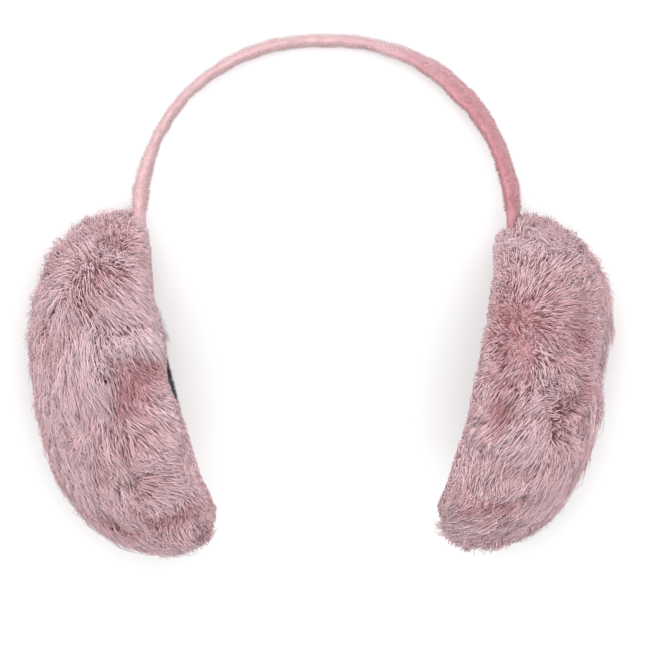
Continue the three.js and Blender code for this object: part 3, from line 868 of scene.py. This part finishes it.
def lining_nap(name, pad):
    """The short nap on a lining."""
    rng = np.random.default_rng(pad["seed"] + 7)
    share = np.sqrt(rng.random(LINING_NAP)) * LINING_NAP_REACH
    x, y = on_lining(share, rng.uniform(0, 2 * math.pi, LINING_NAP))
    roots = np.stack([x, y, lining_height(x, share)], 1)
    down, across = (ripple(roots, brush, rng) for brush in LINING_BRUSHES)
    lean = np.stack([0.5 + down, across, np.full(len(x), -1.0)], 1)
    way = unit(lean + rng.normal(0, LINING_NAP_SCATTER, lean.shape)) * LINING_NAP_LENGTH
    tone = 0.5 + ripple(roots, LINING_CLOUDS, rng)
    nap(f"{name}_ear_lining_nap", pad_place(roots, pad), pad_way(way, pad), tone, LINING_FUZZ, rng)


def nap(name, roots, way, tone, material, rng):
    """Short closed fibres on a cloth, each a three-sided spike."""
    count = len(roots)
    roots, way = laid(roots), laid_way(way)
    side = unit(np.cross(way, NAP_CROSS))
    up = unit(np.cross(way, side))
    roll = rng.uniform(0, 2 * math.pi, count)
    points = np.empty((count, 4, 3))
    for j in range(3):
        angle = roll + j * 2 * math.pi / 3
        offset = side * np.cos(angle)[:, None] + up * np.sin(angle)[:, None]
        points[:, j] = roots - NAP_ROOT * way + offset * NAP_RADIUS
    points[:, 3] = roots + way
    points[..., 2] = np.maximum(points[..., 2], CLOTH_FLOOR)
    shade = np.clip(tone + NAP_TONE * rng.normal(size=count), *TONE_ENDS)
    uv = np.empty((count, 4, 2))
    uv[:, :3, 1] = 0
    uv[:, 3, 1] = 1
    uv[..., 0] = shade[:, None] + CORNER_TONE * np.array([0, 1, 2, 1])
    faces = np.array([[0, 2, 1], [0, 1, 3], [1, 2, 3], [2, 0, 3]])
    faces = (np.arange(count) * 4)[:, None, None] + faces[None]
    return piece(name, points.reshape(-1, 3), faces.reshape(-1, 3), material, uv.reshape(-1, 2))


def headband():
    """The fleece sleeve."""
    points, normal = band_surface(BAND_RINGS, BAND_SIDES)
    surface = laid(points.reshape(-1, 3))
    surface[:, 2] = np.maximum(surface[:, 2], CLOTH_FLOOR)
    closed, triangles = closed_rings(surface, BAND_RINGS, BAND_SIDES)
    sleeve = piece("headband_sleeve", closed, triangles, FLEECE)
    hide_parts("headband")
    band_nap(points, normal)


def band_nap(points, normal):
    """The nap of the sleeve, from its upright rings of points and their outward directions."""
    rng = np.random.default_rng(3)
    first, final = int(BAND_NAP_ENDS * BAND_RINGS), int((1 - BAND_NAP_ENDS) * BAND_RINGS)
    i = rng.uniform(first, final, BAND_NAP)
    j = rng.uniform(0, BAND_SIDES, BAND_NAP)
    i0, j0 = i.astype(int), j.astype(int) % BAND_SIDES
    j1 = (j0 + 1) % BAND_SIDES
    fi, fj = (i - i0)[:, None], (j - j.astype(int))[:, None]
    low = points[i0, j0] * (1 - fj) + points[i0, j1] * fj
    high = points[i0 + 1, j0] * (1 - fj) + points[i0 + 1, j1] * fj
    roots = low * (1 - fi) + high * fi
    facing = unit(normal[i0, j0] * (1 - fj) + normal[i0, j1] * fj)
    along = unit(points[i0 + 1, j0] - points[i0, j0])
    brushed = along * ripple(roots, BAND_BRUSH, rng)[:, None]
    way = unit(facing + brushed + rng.normal(0, BAND_NAP_SCATTER, roots.shape))
    centre = points.mean(axis=1)[i0]
    outward = np.clip(np.sum(unit(roots - centre) * unit(centre + [0, ARCH_HEIGHT, 0]), axis=1), -1, 1)
    right = rising(roots[:, 0] / ARCH_HALF_WIDTH, RIGHT_FROM, RIGHT_OVER)
    # Painted highlight where the nap faces out of the arch, painted shade on the right arm.
    tone = BAND_TONE + OUTSIDE_PAINTED_HIGHLIGHT * outward - RIGHT_PAINTED_SHADE * right + ripple(roots, BAND_CLOUDS, rng)
    long = BAND_NAP_LENGTH * rng.uniform(0.6, 1.1, (BAND_NAP, 1))
    nap("headband_nap", roots, way * long, tone, FUZZ, rng)


# Materials

def material(name, roughness, sheen=0.0):
    made = bpy.data.materials.new(name)
    made.use_nodes = True
    shader = made.node_tree.nodes["Principled BSDF"]
    shader.inputs["Roughness"].default_value = roughness
    shader.inputs["Specular IOR Level"].default_value = 0.25
    shader.inputs["Sheen Weight"].default_value = sheen
    shader.inputs["Sheen Roughness"].default_value = 0.5
    return made, made.node_tree.nodes, made.node_tree.links, shader


def ramp(nodes, stops):
    made = nodes.new("ShaderNodeValToRGB")
    elements = made.color_ramp.elements
    while len(elements) < len(stops):
        elements.new(0.5)
    for element, (place, colour) in zip(elements, stops):
        element.position = place
        element.color = (*colour, 1)
    return made


def strand_material(name, dark, pale, roughness):
    """Strands that run from dark roots to pale tips, each in its own tone."""
    made, nodes, links, shader = material(name, roughness)
    uv = nodes.new("ShaderNodeUVMap")
    uv.uv_map = "OFBake"
    split = nodes.new("ShaderNodeSeparateXYZ")
    links.new(uv.outputs["UV"], split.inputs["Vector"])
    low, high = ramp(nodes, dark), ramp(nodes, pale)
    mix = nodes.new("ShaderNodeMix")
    mix.data_type = "RGBA"
    links.new(split.outputs["Y"], low.inputs["Fac"])
    links.new(split.outputs["Y"], high.inputs["Fac"])
    links.new(split.outputs["X"], mix.inputs["Factor"])
    links.new(low.outputs["Color"], mix.inputs["A"])
    links.new(high.outputs["Color"], mix.inputs["B"])
    links.new(mix.outputs["Result"], shader.inputs["Base Color"])
    return made


def cloth_material(name, dark, pale, grain, bump, roughness, sheen, right_shade=None):
    """A napped cloth: mottled colour and a fine bump, and painted shade that deepens the tint to the right
    if one is given.
    """
    made, nodes, links, shader = material(name, roughness, sheen)
    where = nodes.new("ShaderNodeTexCoord")
    broad = nodes.new("ShaderNodeTexNoise")
    broad.inputs["Scale"].default_value = grain * 0.18
    broad.inputs["Detail"].default_value = 4
    fine = nodes.new("ShaderNodeTexNoise")
    fine.inputs["Scale"].default_value = grain
    fine.inputs["Detail"].default_value = 6
    tint = ramp(nodes, [(0.3, dark), (0.7, pale)])
    raised = nodes.new("ShaderNodeBump")
    raised.inputs["Strength"].default_value = bump
    raised.inputs["Distance"].default_value = 0.0006
    links.new(where.outputs["Object"], broad.inputs["Vector"])
    links.new(where.outputs["Object"], fine.inputs["Vector"])
    links.new(broad.outputs["Fac"], tint.inputs["Fac"])
    links.new(fine.outputs["Fac"], raised.inputs["Height"])
    links.new(tint.outputs["Color"], shader.inputs["Base Color"])
    links.new(raised.outputs["Normal"], shader.inputs["Normal"])
    # Painted shade: the tint is multiplied darker from 0.2 to 0.75 of the arch's half width to the right.
    if right_shade:
        split = nodes.new("ShaderNodeSeparateXYZ")
        across = nodes.new("ShaderNodeMapRange")
        across.inputs["From Min"].default_value = 0.2 * ARCH_HALF_WIDTH * MM
        across.inputs["From Max"].default_value = 0.75 * ARCH_HALF_WIDTH * MM
        mix = nodes.new("ShaderNodeMix")
        mix.data_type = "RGBA"
        mix.blend_type = "MULTIPLY"
        mix.inputs["B"].default_value = (*right_shade, 1)
        links.new(where.outputs["Object"], split.inputs["Vector"])
        links.new(split.outputs["X"], across.inputs["Value"])
        links.new(across.outputs["Result"], mix.inputs["Factor"])
        links.new(tint.outputs["Color"], mix.inputs["A"])
        links.new(mix.outputs["Result"], shader.inputs["Base Color"])
    return made


# Low tones take the dark ramp, which gives the painted shade of partings and dips as well as the strands'
# own spread of tone; high tones take the pale one.
FUR = strand_material(
    "fur",
    [(0.0, (0.58, 0.19, 0.21)), (0.4, (0.54, 0.265, 0.285)), (1.0, (0.53, 0.335, 0.355))],
    [(0.0, (0.81, 0.47, 0.505)), (0.4, (0.82, 0.60, 0.64)), (1.0, (0.80, 0.72, 0.75))],
    0.62,
)
BACKING = cloth_material("fur_backing", (0.62, 0.33, 0.355), (0.70, 0.41, 0.435), 900, 0.6, 0.9, 0.0)
# The fleece's right arm is darkened by painted shade.
FLEECE = cloth_material(
    "fleece", (0.55, 0.345, 0.365), (0.63, 0.415, 0.435), 1400, 0.5, 0.85, 0.1, right_shade=(0.82, 0.61, 0.645)
)
# The nap's pale tones give the painted highlight on the outside of the arch and its dark ones the painted
# shade on the right arm, besides the nap's own mottling.
FUZZ = strand_material(
    "fleece_nap",
    [(0.0, (0.54, 0.25, 0.28)), (1.0, (0.64, 0.34, 0.37))],
    [(0.0, (0.86, 0.70, 0.71)), (1.0, (0.97, 0.92, 0.92))],
    0.7,
)
LINING = cloth_material("lining", (0.022, 0.019, 0.021), (0.05, 0.044, 0.047), 1200, 0.5, 0.9, 0.1)
LINING_FUZZ = strand_material(
    "lining_nap",
    [(0.0, (0.015, 0.013, 0.014)), (1.0, (0.05, 0.044, 0.046))],
    [(0.0, (0.03, 0.026, 0.028)), (1.0, (0.12, 0.105, 0.11))],
    0.8,
)


# Stage, light and camera

def stage():
    mesh = bpy.data.meshes.new("floor")
    half = 6.0
    corners = [(-half, -half, 0), (half, -half, 0), (half, half, 0), (-half, half, 0)]
    mesh.from_pydata(corners, [], [(0, 1, 2, 3)])
    made, _, _, shader = material("floor", 0.9)
    shader.inputs["Base Color"].default_value = (0.86, 0.86, 0.86, 1)
    mesh.materials.append(made)
    floor = bpy.data.objects.new("floor", mesh)
    bpy.context.scene.collection.objects.link(floor)


def area_light(name, place, aim, size, power):
    light = bpy.data.lights.new(name, "AREA")
    light.shape = "SQUARE"
    light.size = size
    light.energy = power
    made = bpy.data.objects.new(name, light)
    made.location = place
    made.rotation_euler = (Vector(aim) - Vector(place)).to_track_quat("-Z", "Y").to_euler()
    bpy.context.scene.collection.objects.link(made)


def lighting():
    world = bpy.data.worlds.new("studio")
    world.use_nodes = True
    background = world.node_tree.nodes["Background"]
    background.inputs["Color"].default_value = (1, 1, 1, 1)
    background.inputs["Strength"].default_value = 0.8
    bpy.context.scene.world = world
    bpy.context.scene.view_settings.view_transform = "Standard"
    aim = (0, -0.01, 0.04)
    area_light("key", (-0.45, 0.8, 1.5), aim, size=1.2, power=11)
    area_light("front", laid_way(np.array([0.1, 0.15, 1.7])), aim, size=0.9, power=16)
    area_light("fill", (0.9, -0.3, 1.4), aim, size=1.4, power=5)


def camera():
    """Looks square at the earmuffs' front, as the photograph does."""
    middle = (PHOTO_SIZE / 2 - CROWN_PIXEL[0], CROWN_PIXEL[1] - PHOTO_SIZE / 2)
    target = laid(np.array([middle[0] * PIXEL, middle[1] * PIXEL, 0.0])) * MM
    back = laid_way(np.array([0.0, 0.0, 1.0]))
    up = laid_way(np.array([0.0, 1.0, 0.0]))
    right = np.cross(up, back)
    data = bpy.data.cameras.new("camera")
    data.sensor_width = SENSOR
    data.lens = SENSOR * CAMERA_DISTANCE / (PHOTO_SIZE * PIXEL * MM)
    data.clip_end = 50
    made = bpy.data.objects.new("camera", data)
    turn = Matrix([[right[k], up[k], back[k]] for k in range(3)]).to_4x4()
    made.matrix_world = Matrix.Translation(Vector(target + back * CAMERA_DISTANCE)) @ turn
    bpy.context.scene.collection.objects.link(made)
    bpy.context.scene.camera = made


camera()
lighting()
stage()
headband()
for pad_name, pad in PADS.items():
    pad_backing(pad_name, pad)
    pad_fur(pad_name, pad)
    pad_lining(pad_name, pad)
    lining_nap(pad_name, pad)
